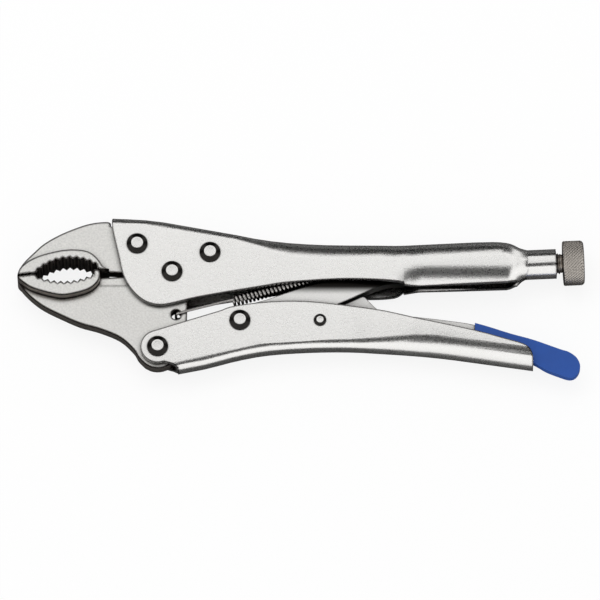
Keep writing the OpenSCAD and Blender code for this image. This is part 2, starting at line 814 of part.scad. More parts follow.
// The spring's frame: along it from the jaw's hole to the anchor, sideways in the
// plane of the tool, and up through the thickness.
spring_span = norm(spring_anchor_at - spring_hook_at);
spring_dir = (spring_anchor_at - spring_hook_at) / spring_span;
function on_spring(along, side, up) =
    let (q = spring_hook_at + along * spring_dir + side * [-spring_dir[1], spring_dir[0]])
    [q[0], q[1], up];
coil_mid_r = (coil_d - wire_d) / 2;
coil_len = coil_turns * coil_pitch;
coil_from = 26;
coil_to = coil_from + coil_len;
turn_steps = 8;
hook_z = plate_t / 2 + wire_d / 2 + 0.2;
function spring_path() = concat(
    [on_spring(4.5, 0, -hook_z), on_spring(1.3, 0, -hook_z),
    on_spring(0.3, 0, -hook_z + 0.9), on_spring(0, 0, 0), on_spring(0.3, 0, hook_z - 0.9),
    on_spring(1.3, 0, hook_z), on_spring(8, 0, hook_z),
    on_spring(coil_from - 5, 0, coil_mid_r + 0.4), on_spring(coil_from - 1.5, 0, coil_mid_r)],
    [for (i = [0:coil_turns * turn_steps])
        let (a = 360 * i / turn_steps)
        on_spring(coil_from + coil_len * i / (coil_turns * turn_steps),
            -coil_mid_r * sin(a), coil_mid_r * cos(a))],
    [on_spring(coil_to + 1.5, 0, coil_mid_r), on_spring(coil_to + 4, 0, hook_r)],
    [for (i = [0:8])
        let (a = 90 - 180 * i / 8)
        on_spring(spring_span + hook_r * cos(a), 0, hook_r * sin(a))],
    [on_spring(spring_span - 2.5, 0, -hook_r)]);
hook_r = tab_half + wire_d / 2 + 0.8;

wire_sides = 6;
module wire(path) {
    last = len(path) - 1;
    rings = [for (i = [0:last])
        let (t = unit(path[min(last, i + 1)] - path[max(0, i - 1)]),
            side = unit(cross(t, [spring_dir[1], -spring_dir[0], 0.2])),
            other = cross(t, side))
        each [for (k = [0:wire_sides - 1])
            let (a = 360 * k / wire_sides)
            path[i] + wire_d / 2 * (cos(a) * side + sin(a) * other)]];
    sides = [for (i = [0:last - 1]) for (k = [0:wire_sides - 1])
        let (a = i * wire_sides + k, b = i * wire_sides + (k + 1) % wire_sides)
        each [[a, b + wire_sides, b], [a, a + wire_sides, b + wire_sides]]];
    caps = [[for (k = [0:wire_sides - 1]) k],
        [for (k = [wire_sides - 1:-1:0]) last * wire_sides + k]];
    polyhedron(points = rings, faces = concat(sides, caps));
}

module tension_spring() {
    color(dark_steel)
    placed()
        wire(spring_path());
}

fixed_handle();
fixed_jaw();
moving_jaw();
moving_handle();
toggle_link();
release_lever();
lever_sleeve();
lever_spacers();
adjusting_screw();
adjusting_knob();
tension_spring();
front_jaw_rivet();
rear_jaw_rivet();
jaw_pivot_rivet();
handle_pivot_rivet();
link_rivet();
lever_rivet();
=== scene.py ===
"""Locking pliers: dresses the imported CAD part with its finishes, peened rivets, a threaded
screw, a knurled knob and a wound spring, and sets the studio. Laid out as a Blender add-on
and run as a script."""

import json
import math

import bpy
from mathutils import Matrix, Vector


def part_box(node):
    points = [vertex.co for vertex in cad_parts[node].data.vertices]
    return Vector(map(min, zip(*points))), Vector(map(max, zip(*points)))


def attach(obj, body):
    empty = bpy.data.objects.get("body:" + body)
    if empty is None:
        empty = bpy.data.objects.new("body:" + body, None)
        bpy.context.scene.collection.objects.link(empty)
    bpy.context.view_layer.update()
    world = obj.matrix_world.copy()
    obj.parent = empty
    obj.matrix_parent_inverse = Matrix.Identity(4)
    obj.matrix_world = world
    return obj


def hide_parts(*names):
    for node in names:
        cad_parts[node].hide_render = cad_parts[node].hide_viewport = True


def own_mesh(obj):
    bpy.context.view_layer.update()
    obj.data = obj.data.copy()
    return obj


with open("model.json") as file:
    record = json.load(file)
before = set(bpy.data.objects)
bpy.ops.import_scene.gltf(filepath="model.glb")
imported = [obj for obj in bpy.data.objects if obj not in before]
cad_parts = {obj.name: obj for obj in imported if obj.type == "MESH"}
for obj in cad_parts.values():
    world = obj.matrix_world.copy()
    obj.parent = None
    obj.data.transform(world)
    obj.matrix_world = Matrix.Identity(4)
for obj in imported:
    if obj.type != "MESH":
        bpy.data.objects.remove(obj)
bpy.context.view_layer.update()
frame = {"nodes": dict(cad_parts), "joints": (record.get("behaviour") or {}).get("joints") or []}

bl_info = {
    "name": "Locking Pliers",
    "version": (1, 0, 0),
    "blender": (4, 5, 0),
    "location": "3D View > Sidebar > Pliers",
    "description": "Builds the finishes and fine pieces of a pair of locking pliers",
    "category": "Add Mesh",
}

MM = 0.001

# ---------- places, in the part's own frame ----------


def joint(name):
    """The record's joint of this name."""
    return next(j for j in frame["joints"] if j["name"] == name)


def low(piece):
    """The lowest corner of a CAD node's box."""
    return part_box(piece)[0]


def high(piece):
    """The highest corner of a CAD node's box."""
    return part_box(piece)[1]


def middle(piece):
    """The middle of a CAD node's box."""
    return (low(piece) + high(piece)) / 2


JAW_PIVOT = Vector(joint("jaw_pivot")["pos_m"])
SCREW_TIP = Vector(joint("knob_turn")["pos_m"])
SCREW_DIR = Vector(joint("knob_turn")["axis"]).normalized()
SCREW_LEN = (high("adjusting_screw") - SCREW_TIP).x / SCREW_DIR.x
STEM_LEN = 7.7 * MM  # the screw's plain end, which the knob is fixed on


# ---------- settings ----------


class PliersSizes(bpy.types.PropertyGroup):
    """Sizes of the fine pieces that the scene makes itself"""
    knurls: bpy.props.IntProperty(
        name="Knurls round the knob", description="Diamonds in one ring of the knurling",
        default=44, min=12, max=90)
    knurl_depth: bpy.props.FloatProperty(
        name="Knurl depth", description="Depth of the knurling",
        default=0.42 * MM, min=0.0, max=1 * MM, unit="LENGTH", precision=5)
    thread_pitch: bpy.props.FloatProperty(
        name="Thread pitch", description="Pitch of the adjusting screw",
        default=1.25 * MM, min=0.5 * MM, max=3 * MM, unit="LENGTH", precision=5)
    coil_turns: bpy.props.IntProperty(
        name="Spring turns", description="Turns in the tension spring",
        default=28, min=5, max=60)
    edge_round: bpy.props.FloatProperty(
        name="Edge rounding", description="Rounding of the sheared sheet edges",
        default=0.2 * MM, min=0.05 * MM, max=1 * MM, unit="LENGTH", precision=5)


class PliersFinish(bpy.types.PropertyGroup):
    """Colours of the metals and the vinyl"""
    nickel: bpy.props.FloatVectorProperty(
        name="Nickel", description="Satin nickel plate of the handles",
        default=(0.93, 0.92, 0.90), min=0, max=1, subtype="COLOR")
    forged: bpy.props.FloatVectorProperty(
        name="Forged face", description="Plated faces of the forged jaws",
        default=(0.87, 0.86, 0.83), min=0, max=1, subtype="COLOR")
    # darker sides of the jaws and the link: on the jaws partly the forged scale's own colour,
    # and on both painted shade where the faces tilt from upright
    scale: bpy.props.FloatVectorProperty(
        name="Forged edge and shade", description="Darker edges of the forged jaws",
        default=(0.42, 0.365, 0.325), min=0, max=1, subtype="COLOR")
    rivet: bpy.props.FloatVectorProperty(
        name="Rivet", description="Peened rivet heads",
        default=(0.88, 0.87, 0.85), min=0, max=1, subtype="COLOR")
    screw: bpy.props.FloatVectorProperty(
        name="Screw", description="Adjusting screw and knob",
        default=(0.53, 0.49, 0.445), min=0, max=1, subtype="COLOR")
    spring: bpy.props.FloatVectorProperty(
        name="Spring", description="Spring wire",
        default=(0.60, 0.58, 0.56), min=0, max=1, subtype="COLOR")
    vinyl: bpy.props.FloatVectorProperty(
        name="Vinyl", description="Dipped sleeve on the release lever",
        default=(0.012, 0.074, 0.345), min=0, max=1, subtype="COLOR")


class PliersStage(bpy.types.PropertyGroup):
    """The floor, the light of the room and the camera"""
    floor: bpy.props.FloatVectorProperty(
        name="Floor", description="Colour of the floor",
        default=(0.92, 0.92, 0.92), min=0, max=1, subtype="COLOR")
    glow: bpy.props.FloatProperty(
        name="Floor white", description="Share of plain white in the floor as it is seen",
        default=0.86, min=0, max=1)
    sky: bpy.props.FloatProperty(
        name="Room light", description="Strength of the even light from all round",
        default=0.80, min=0, max=2)
    field: bpy.props.FloatProperty(
        name="Field", description="Width of the camera's view at the part",
        default=264 * MM, min=0.1, max=1, unit="LENGTH")
    elevation: bpy.props.FloatProperty(
        name="Elevation", description="Height of the camera over the part",
        default=math.radians(70), min=0, max=math.pi / 2, unit="ROTATION")


# ---------- node helpers ----------


def node(tree, kind, values=None, **settings):
    """A new node, with its settings and the values of its inputs by name."""
    made = tree.nodes.new(kind)
    for key, value in settings.items():
        setattr(made, key, value)
    for key, value in (values or {}).items():
        made.inputs[key].default_value = value
    return made


def wire(tree, source, target):
    """Links one node's output to another's input."""
    tree.links.new(source, target)


def blend(tree, share, first, second):
    """A mix of two colours, each one a socket or a fixed colour; returns its output. The
    mix node's colour inputs are its sixth and seventh, and its colour output the second."""
    mix = node(tree, "ShaderNodeMix", data_type="RGBA")
    for place, colour in ((6, first), (7, second)):
        if isinstance(colour, bpy.types.NodeSocket):
            wire(tree, colour, mix.inputs[place])
        else:
            mix.inputs[place].default_value = (*colour, 1)
    wire(tree, share, mix.inputs["Factor"])
    return mix.outputs[2]


def product(tree, socket, factor):
    """A socket's value times another socket's, or times a number; returns its output."""
    made = node(tree, "ShaderNodeMath", operation="MULTIPLY")
    wire(tree, socket, made.inputs[0])
    if isinstance(factor, bpy.types.NodeSocket):
        wire(tree, factor, made.inputs[1])
    else:
        made.inputs[1].default_value = factor
    return made.outputs[0]


def new_group(name, inputs, outputs):
    """A shader node group with float or colour sockets; returns tree, input and output node."""
    tree = bpy.data.node_groups.new(name, "ShaderNodeTree")
    for label, kind, value in inputs:
        socket = tree.interface.new_socket(label, in_out="INPUT", socket_type=kind)
        socket.default_value = value
    for label, kind in outputs:
        tree.interface.new_socket(label, in_out="OUTPUT", socket_type=kind)
    return tree, tree.nodes.new("NodeGroupInput"), tree.nodes.new("NodeGroupOutput")


FLOAT, COLOR = "NodeSocketFloat", "NodeSocketColor"
PAINTED_SHADE_DARK = (0.03, 0.026, 0.024)  # painted shade in the corners and along the edges
PAINTED_SHADOW_DARK = (0.012, 0.011, 0.010)  # painted shadow on the link, deep inside the handles


def grain_group():
    """Fine satin grain over a slow drift of tone, for every metal."""
    found = bpy.data.node_groups.get("satin_grain")
    if found:
        return found
    tree, given, out = new_group(
        "satin_grain",
        [("Base", COLOR, (0.8, 0.8, 0.8, 1)), ("Grain size", FLOAT, 0.3),
         ("Tone", FLOAT, 0.1), ("Roughness", FLOAT, 0.35), ("Spread", FLOAT, 0.1)],
        [("Color", COLOR), ("Roughness", FLOAT), ("Height", FLOAT)])
    place = node(tree, "ShaderNodeTexCoord")
    density = node(tree, "ShaderNodeMath", {0: 1000.0}, operation="DIVIDE")
    wire(tree, given.outputs["Grain size"], density.inputs[1])
    fine = node(tree, "ShaderNodeTexNoise", {"Detail": 2.0, "Roughness": 0.6})
    wire(tree, place.outputs["Object"], fine.inputs["Vector"])
    wire(tree, density.outputs[0], fine.inputs["Scale"])
    slow = node(tree, "ShaderNodeTexNoise", {"Scale": 55.0, "Detail": 3.0})
    wire(tree, place.outputs["Object"], slow.inputs["Vector"])
    both = node(tree, "ShaderNodeMix", {"Factor": 0.25}, data_type="FLOAT")
    wire(tree, fine.outputs["Fac"], both.inputs["A"])
    wire(tree, slow.outputs["Fac"], both.inputs["B"])
    centred = node(tree, "ShaderNodeMath", {1: 0.5}, operation="SUBTRACT")
    wire(tree, both.outputs["Result"], centred.inputs[0])
    shade = node(tree, "ShaderNodeMath", {2: 1.0}, operation="MULTIPLY_ADD")
    wire(tree, centred.outputs[0], shade.inputs[0])
    wire(tree, given.outputs["Tone"], shade.inputs[1])
    tinted = node(tree, "ShaderNodeVectorMath", operation="SCALE")
    wire(tree, given.outputs["Base"], tinted.inputs[0])
    wire(tree, shade.outputs[0], tinted.inputs["Scale"])
    wire(tree, tinted.outputs[0], out.inputs["Color"])
    rough = node(tree, "ShaderNodeMath", operation="MULTIPLY_ADD")
    wire(tree, centred.outputs[0], rough.inputs[0])
    wire(tree, given.outputs["Spread"], rough.inputs[1])
    wire(tree, given.outputs["Roughness"], rough.inputs[2])
    wire(tree, rough.outputs[0], out.inputs["Roughness"])
    wire(tree, fine.outputs["Fac"], out.inputs["Height"])
    return tree


def painted_shade_group():
    """Painted shade in the corners and hollows, a painted dark line along each edge and a second
    tone on the sides.
    """
    found = bpy.data.node_groups.get("edge_and_corner_shade")
    if found:
        return found
    tree, given, out = new_group(
        "edge_and_corner_shade",
        [("Face", COLOR, (0.8, 0.8, 0.8, 1)), ("Side", COLOR, (0.3, 0.3, 0.3, 1)),
         ("Side amount", FLOAT, 0.5), ("Side from", FLOAT, 0.9), ("Side to", FLOAT, 0.35),
         ("Corner shade amount", FLOAT, 0.5), ("Reach", FLOAT, 1.5), ("Edge width", FLOAT, 0.5),
         ("Edge amount", FLOAT, 0.6)],
        [("Color", COLOR)])
    geometry = node(tree, "ShaderNodeNewGeometry")

    # painted shade: a dark line along every edge, for the dark surroundings that rounded rims
    # mirror
    rounded = node(tree, "ShaderNodeBevel", samples=8)
    wire(tree, product(tree, given.outputs["Edge width"], MM), rounded.inputs["Radius"])
    turn = node(tree, "ShaderNodeVectorMath", operation="DOT_PRODUCT")
    wire(tree, rounded.outputs[0], turn.inputs[0])
    wire(tree, geometry.outputs["Normal"], turn.inputs[1])
    rim = node(tree, "ShaderNodeMapRange", {"From Min": 0.997, "From Max": 0.93},
               interpolation_type="SMOOTHSTEP")
    wire(tree, turn.outputs["Value"], rim.inputs["Value"])
    line = product(tree, rim.outputs[0], given.outputs["Edge amount"])

    # the second tone, by how far the normal tilts from the part's Z: painted shade on the tilted
    # faces, on the jaws partly their forged scale
    axes = node(tree, "ShaderNodeVectorTransform", vector_type="NORMAL",
                convert_from="WORLD", convert_to="OBJECT")
    wire(tree, geometry.outputs["Normal"], axes.inputs[0])
    split = node(tree, "ShaderNodeSeparateXYZ")
    wire(tree, axes.outputs[0], split.inputs[0])
    upright = node(tree, "ShaderNodeMath", operation="ABSOLUTE")
    wire(tree, split.outputs["Z"], upright.inputs[0])
    flank = node(tree, "ShaderNodeMapRange", interpolation_type="SMOOTHSTEP")
    wire(tree, upright.outputs[0], flank.inputs["Value"])
    wire(tree, given.outputs["Side from"], flank.inputs["From Min"])
    wire(tree, given.outputs["Side to"], flank.inputs["From Max"])
    sided = blend(tree, product(tree, flank.outputs[0], given.outputs["Side amount"]),
                  given.outputs["Face"], given.outputs["Side"])

    # painted shade in the corners and hollows, from ambient occlusion
    corner = node(tree, "ShaderNodeAmbientOcclusion", samples=8)
    wire(tree, product(tree, given.outputs["Reach"], MM), corner.inputs["Distance"])
    closed = node(tree, "ShaderNodeMapRange", {"From Min": 0.92, "From Max": 0.4},
                  interpolation_type="SMOOTHSTEP")
    wire(tree, corner.outputs["AO"], closed.inputs["Value"])
    corner_shade = product(tree, closed.outputs[0], given.outputs["Corner shade amount"])

    darkest = node(tree, "ShaderNodeMath", operation="MAXIMUM")
    wire(tree, corner_shade, darkest.inputs[0])
    wire(tree, line, darkest.inputs[1])
    wire(tree, blend(tree, darkest.outputs[0], sided, PAINTED_SHADE_DARK), out.inputs["Color"])
    return tree


def metal(name, colour, *, roughness, grain, grain_height, tone, spread=0.1, corner_shade, reach,
          side=None, side_amount=0.0, side_from=0.9, side_to=0.35, edge=0.5,
          edge_amount=0.0):
    """A plated or bare metal: satin grain, a second tone on its sides (where the normal's Z
    is under side_from), painted shade in its corners and painted dark lines along its edges.
    The grain size, the reach of the corner shade and the edge's width are in millimetres."""
    made = bpy.data.materials.new(name)
    made.use_nodes = True
    tree = made.node_tree
    shader = tree.nodes["Principled BSDF"]
    shader.inputs["Metallic"].default_value = 1.0
    satin = node(tree, "ShaderNodeGroup", node_tree=grain_group())
    for key, value in (("Base", (*colour, 1)), ("Grain size", grain), ("Tone", tone),
                       ("Roughness", roughness), ("Spread", spread)):
        satin.inputs[key].default_value = value
    shaded = node(tree, "ShaderNodeGroup", node_tree=painted_shade_group())
    side_colour = colour if side is None else side
    for key, value in (("Side", (*side_colour, 1)), ("Side amount", side_amount),
                       ("Side from", side_from), ("Side to", side_to),
                       ("Corner shade amount", corner_shade), ("Reach", reach),
                       ("Edge width", edge), ("Edge amount", edge_amount)):
        shaded.inputs[key].default_value = value
    wire(tree, satin.outputs["Color"], shaded.inputs["Face"])
    wire(tree, shaded.outputs["Color"], shader.inputs["Base Color"])
    wire(tree, satin.outputs["Roughness"], shader.inputs["Roughness"])
    bump = node(tree, "ShaderNodeBump", {"Strength": 1.0, "Distance": grain_height * MM})
    wire(tree, satin.outputs["Height"], bump.inputs["Height"])
    wire(tree, bump.outputs[0], shader.inputs["Normal"])
    return made


def paint_shadow(material, clean, dark):
    """Paints a shadow on a material along the part's Y, from none at clean to the full at dark.
    """
    tree = material.node_tree
    shader = tree.nodes["Principled BSDF"]
    before = shader.inputs["Base Color"].links[0].from_socket
    place = node(tree, "ShaderNodeTexCoord")
    split = node(tree, "ShaderNodeSeparateXYZ")
    wire(tree, place.outputs["Object"], split.inputs[0])
    reach = node(tree, "ShaderNodeMapRange", {"From Min": clean, "From Max": dark},
                 interpolation_type="SMOOTHSTEP")
    wire(tree, split.outputs["Y"], reach.inputs["Value"])
    wire(tree, blend(tree, reach.outputs[0], before, PAINTED_SHADOW_DARK),
         shader.inputs["Base Color"])


def vinyl(name, colour):
    """Dipped vinyl: soft sheen, slow pools of thickness and a fine skin."""
    made = bpy.data.materials.new(name)
    made.use_nodes = True
    tree = made.node_tree
    shader = tree.nodes["Principled BSDF"]
    shader.inputs["IOR"].default_value = 1.48
    place = node(tree, "ShaderNodeTexCoord")
    pools = node(tree, "ShaderNodeTexNoise", {"Scale": 90.0, "Detail": 3.0})
    wire(tree, place.outputs["Object"], pools.inputs["Vector"])
    thick, thin = ([c * shade for c in colour] for shade in (0.82, 1.15))
    wire(tree, blend(tree, pools.outputs["Fac"], thick, thin), shader.inputs["Base Color"])
    sheen = node(tree, "ShaderNodeMapRange", {"To Min": 0.42, "To Max": 0.6})
    wire(tree, pools.outputs["Fac"], sheen.inputs["Value"])
    wire(tree, sheen.outputs[0], shader.inputs["Roughness"])
    skin = node(tree, "ShaderNodeTexNoise", {"Scale": 1600.0, "Detail": 2.0})
    wire(tree, place.outputs["Object"], skin.inputs["Vector"])
    bump = node(tree, "ShaderNodeBump", {"Strength": 0.6, "Distance": 0.03 * MM})
    wire(tree, skin.outputs["Fac"], bump.inputs["Height"])
    wire(tree, bump.outputs[0], shader.inputs["Normal"])
    return made


# ---------- mesh helpers ----------


def dress(target, material):
    """Gives every slot of an object one material."""
    if not target.material_slots:
        target.data.materials.append(material)
    for slot in target.material_slots:
        slot.material = material


def clean_shading():
    """A modifier tree that joins the split corners of a CAD mesh and shades it smooth."""
    found = bpy.data.node_groups.get("clean_shading")
    if found:
        return found
    tree = bpy.data.node_groups.new("clean_shading", "GeometryNodeTree")
    tree.interface.new_socket("Geometry", in_out="INPUT", socket_type="NodeSocketGeometry")
    tree.interface.new_socket("Geometry", in_out="OUTPUT", socket_type="NodeSocketGeometry")
    given, out = tree.nodes.new("NodeGroupInput"), tree.nodes.new("NodeGroupOutput")
    bare = node(tree, "GeometryNodeRemoveAttribute", {"Name": "custom_normal"})
    merge = node(tree, "GeometryNodeMergeByDistance", {"Distance": 0.002 * MM})
    smooth = node(tree, "GeometryNodeSetShadeSmooth", {"Shade Smooth": True})
    wire(tree, given.outputs[0], bare.inputs["Geometry"])
    wire(tree, bare.outputs[0], merge.inputs["Geometry"])
    wire(tree, merge.outputs[0], smooth.inputs["Geometry"])
    wire(tree, smooth.outputs[0], out.inputs[0])
    return tree


def round_edges(target, width, segments, angle):
    """Rounds the edges of a CAD node sharper than this angle, its own mesh left as it is."""
    clean = target.modifiers.new("clean shading", "NODES")
    clean.node_group = clean_shading()
    flat = target.modifiers.new("flat faces", "DECIMATE")
    flat.decimate_type = "DISSOLVE"
    flat.angle_limit = math.radians(0.6)
    bevel = target.modifiers.new("edge rounding", "BEVEL")
    bevel.width = width
    bevel.segments = segments
    bevel.limit_method = "ANGLE"
    bevel.angle_limit = math.radians(angle)
    bevel.use_clamp_overlap = True
    bevel.harden_normals = False
    normals = target.modifiers.new("flat normals", "WEIGHTED_NORMAL")
    normals.keep_sharp = True
    normals.weight = 80


def add_piece(name, mesh, body, material, replaces=()):
    """Puts a finished mesh in the scene, riding on its body."""
    piece = bpy.data.objects.new(name, mesh)
    bpy.context.scene.collection.objects.link(piece)
    dress(piece, material)
    for face in mesh.polygons:
        face.use_smooth = True
    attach(piece, body)
    if replaces:
        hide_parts(*replaces)
    return piece


def grid_mesh(name, rows):
    """A closed mesh over rows of points, each row a ring, with a cap at both ends."""
    mesh = bpy.data.meshes.new(name)
    count = len(rows[0])
    last = (len(rows) - 1) * count
    points = [tuple(p) for row in rows for p in row]
    faces = [(a, b, b + count, a + count)
             for start in range(0, last, count)
             for a, b in ((start + k, start + (k + 1) % count) for k in range(count))]
    faces.append(tuple(range(count - 1, -1, -1)))
    faces.append(tuple(range(last, last + count)))
    mesh.from_pydata(points, [], faces)
    mesh.update()
    return mesh


def circle(steps):
    """The angles of this many even steps round a circle."""
    return [2 * math.pi * k / steps for k in range(steps)]


def upright_rings(profile, at, steps):
    """Rings round an upright axis through a point, for each (radius, height)."""
    return [[at + Vector((radius * math.cos(a), radius * math.sin(a), height))
             for a in circle(steps)] for radius, height in profile]


def screw_rings(rows):
    """Rings round the screw's axis: each row holds (radius, distance from the screw's tip)
    once for every step round it."""
    turn = Vector((0, 0, 1)).rotation_difference(SCREW_DIR).to_matrix()
    return [[SCREW_TIP + turn @ Vector((radius * math.cos(a), radius * math.sin(a), along))
             for (radius, along), a in zip(row, circle(len(row)))] for row in rows]


def arc(centre, radius, start, end, steps):
    """Points of an arc from one angle to another, in degrees."""
    return [(centre[0] + radius * math.cos(a), centre[1] + radius * math.sin(a))
            for a in (math.radians(start + (end - start) * i / steps)
                      for i in range(steps + 1))]


def smooth_path(points, steps):
    """A smooth curve through the points."""
    made = []
    last = len(points) - 1
    for i in range(last):
        a, b = points[max(0, i - 1)], points[i]
        c, d = points[i + 1], points[min(last, i + 2)]
        for k in range(steps):
            t = k / steps
            made.append(0.5 * (2 * b + (c - a) * t + (2 * a - 5 * b + 4 * c - d) * t * t
                               + (3 * b - a - 3 * c + d) * t ** 3))
    made.append(points[last])
    return made


def tube(name, path, radius, sides):
    """A round wire along a path, its section carried from point to point without twist."""
    rows = []
    last = len(path) - 1
    normal = None
    for i, point in enumerate(path):
        ahead = (path[min(last, i + 1)] - path[max(0, i - 1)]).normalized()
        if normal is None:
            normal = ahead.orthogonal().normalized()
        normal = (normal - ahead * normal.dot(ahead)).normalized()
        other = ahead.cross(normal)
        rows.append([point + radius * (math.cos(a) * normal + math.sin(a) * other)
                     for a in circle(sides)])
    return grid_mesh(name, rows)


# ---------- operators ----------


class PLIERS_OT_handles(bpy.types.Operator):
    """Finish the two folded handles: rounded sheet edges and satin nickel"""
    bl_idname = "pliers.handles"
    bl_label = "Handles"

    def execute(self, context):
        sizes, finish = context.scene.pliers_sizes, context.scene.pliers_finish
        # the darker second tone on the bends, the shade in the corners and the dark edge lines
        # are painted shade
        plate = metal("satin nickel", finish.nickel, roughness=0.28, grain=0.75,
                      grain_height=0.04, tone=0.34, corner_shade=0.85, reach=6.0,
                      side=[c * 0.8 for c in finish.nickel], side_amount=0.3,
                      edge=1.3, edge_amount=0.95)
        for name in ("fixed_handle", "moving_handle"):
            dress(frame["nodes"][name], plate)
            round_edges(frame["nodes"][name], sizes.edge_round, segments=2, angle=32)
        return {"FINISHED"}


class PLIERS_OT_jaws(bpy.types.Operator):
    """Finish the two forged jaws"""
    bl_idname = "pliers.jaws"
    bl_label = "Jaws"

    def execute(self, context):
        finish = context.scene.pliers_finish
        # the dark sides are partly the forged scale's own colour and partly painted shade; the
        # shade in the corners and the dark edge lines are painted shade
        forged = metal("forged nickel", finish.forged, roughness=0.33, grain=0.85,
                       grain_height=0.05, tone=0.65, spread=0.18, corner_shade=0.6, reach=4.0,
                       side=finish.scale, side_amount=0.85, edge=1.9, edge_amount=1.0)
        for name in ("fixed_jaw", "moving_jaw"):
            dress(frame["nodes"][name], forged)
            round_edges(frame["nodes"][name], 0.4 * MM, segments=3, angle=30)
        return {"FINISHED"}


class PLIERS_OT_link_and_lever(bpy.types.Operator):
    """Finish the toggle link, the release lever and its spacers"""
    bl_idname = "pliers.link_and_lever"
    bl_label = "Link and lever"

    def execute(self, context):
        finish = context.scene.pliers_finish
        # the dark sides, the deep shade in the corners and the dark edge lines of the link, the
        # lever and the spacers are painted shade
        plate = metal("plated link", finish.nickel, roughness=0.29, grain=0.75,
                      grain_height=0.04, tone=0.24, corner_shade=0.97, reach=14.0,
                      side=finish.scale, side_amount=0.5, edge=0.9, edge_amount=0.9)
        shadowed_link = plate.copy()
        shadowed_link.name = "plated link, painted shadow where the handle covers it"
        # painted shadow on the link where it runs in under the fixed handle
        paint_shadow(shadowed_link, clean=1.2 * MM, dark=5.4 * MM)
        for name in ("toggle_link", "release_lever", "lever_spacers"):
            dress(frame["nodes"][name], shadowed_link if name == "toggle_link" else plate)
            round_edges(frame["nodes"][name], 0.2 * MM, segments=2, angle=30)
        return {"FINISHED"}


class PLIERS_OT_sleeve(bpy.types.Operator):
    """Finish the dipped vinyl sleeve on the release lever"""
    bl_idname = "pliers.sleeve"
    bl_label = "Dipped sleeve"

    def execute(self, context):
        finish = context.scene.pliers_finish
        dress(frame["nodes"]["lever_sleeve"], vinyl("blue vinyl", finish.vinyl))
        round_edges(frame["nodes"]["lever_sleeve"], 0.65 * MM, segments=4, angle=30)
        return {"FINISHED"}


class PLIERS_OT_rivets(bpy.types.Operator):
    """Peen the rivets: a flat struck crown inside a rounded shoulder"""
    bl_idname = "pliers.rivets"
    bl_label = "Rivets"

    def execute(self, context):
        finish = context.scene.pliers_finish
        # the nearly black second tone on the shoulder is painted shade, for the dark
        # surroundings that the rounded shoulder mirrors
        steel = metal("peened steel", finish.rivet, roughness=0.28, grain=0.5,
                      grain_height=0.03, tone=0.3, corner_shade=0.0, reach=0.8,
                      side=(0.03, 0.028, 0.026), side_amount=1.0, side_from=0.975,
                      side_to=0.87)
        bodies = {"front_jaw_rivet": "fixed_handle", "rear_jaw_rivet": "fixed_handle",
                  "jaw_pivot_rivet": "fixed_handle", "handle_pivot_rivet": "moving_handle",
                  "link_rivet": "moving_handle", "lever_rivet": "moving_handle"}
        for name, body in bodies.items():
            radius = (high(name).x - low(name).x) / 2
            half = (high(name).z - low(name).z) / 2
            rise = (1.0 if name == "lever_rivet" else 1.7) * MM
            seat = half - rise
            crown, rim, corner = radius * 0.57, rise * 0.3, radius * 0.12
            head = [(0.02 * MM, rise - 0.05 * MM), (crown * 0.75, rise - 0.04 * MM),
                    (crown * 0.95, rise), (crown, rise - 0.03 * MM),
                    (crown + 0.08 * MM, rise - 0.1 * MM)]
            head += arc((radius - corner, rim), corner, 50, 0, 6)
            head += [(radius, 0.0), (radius * 0.55, -0.02 * MM)]
            top = [(r, seat + h) for r, h in head]
            profile = [(r, -h) for r, h in top] + top[::-1]
            mesh = grid_mesh(name + "_head", upright_rings(profile, middle(name), 64))
            add_piece(name + "_peened", mesh, body, steel, [name])
        return {"FINISHED"}


class PLIERS_OT_screw(bpy.types.Operator):
    """Cut the adjusting screw with one running thread"""
    bl_idname = "pliers.screw"
    bl_label = "Adjusting screw"

    def execute(self, context):
        sizes, finish = context.scene.pliers_sizes, context.scene.pliers_finish
        # the shade in the thread roots is painted shade
        steel = metal("screw steel", finish.screw, roughness=0.3, grain=0.35,
                      grain_height=0.015, tone=0.2, corner_shade=0.95, reach=1.0)
        crest, root, stem = 4.6 * MM, 4.0 * MM, 3.0 * MM
        nose, pitch = 5.0 * MM, sizes.thread_pitch
        shoulder = SCREW_LEN - STEM_LEN
        thread_end = shoulder - 0.4 * MM
        around, per_turn = 40, 10
        rows = [[ring] * around for ring in (
            (0.3 * MM, 0), (root - 1.4 * MM, 0), (root - 0.5 * MM, 0.9 * MM),
            (root - 0.4 * MM, nose - 1 * MM))]
        steps = int((thread_end - nose) / pitch * per_turn)
        for i in range(steps + 1):
            h = nose + (thread_end - nose) * i / steps
            run_out = max(0.0, min(1.0, (h - nose) / pitch, (thread_end - h) / pitch))
            row = []
            for k in range(around):
                phase = (h / pitch - k / around) % 1.0
                tooth = max(0.0, min(1.0, (1 - abs(2 * phase - 1)) * 1.5 - 0.2))
                row.append((root + (crest - root) * tooth * run_out, h))
            rows.append(row)
        rows += [[ring] * around for ring in (
            (root, shoulder), (stem, shoulder), (stem, SCREW_LEN))]
        mesh = grid_mesh("screw_thread", screw_rings(rows))
        add_piece("threaded_screw", mesh, "adjusting_screw", steel,
                  ["adjusting_screw"])
        return {"FINISHED"}


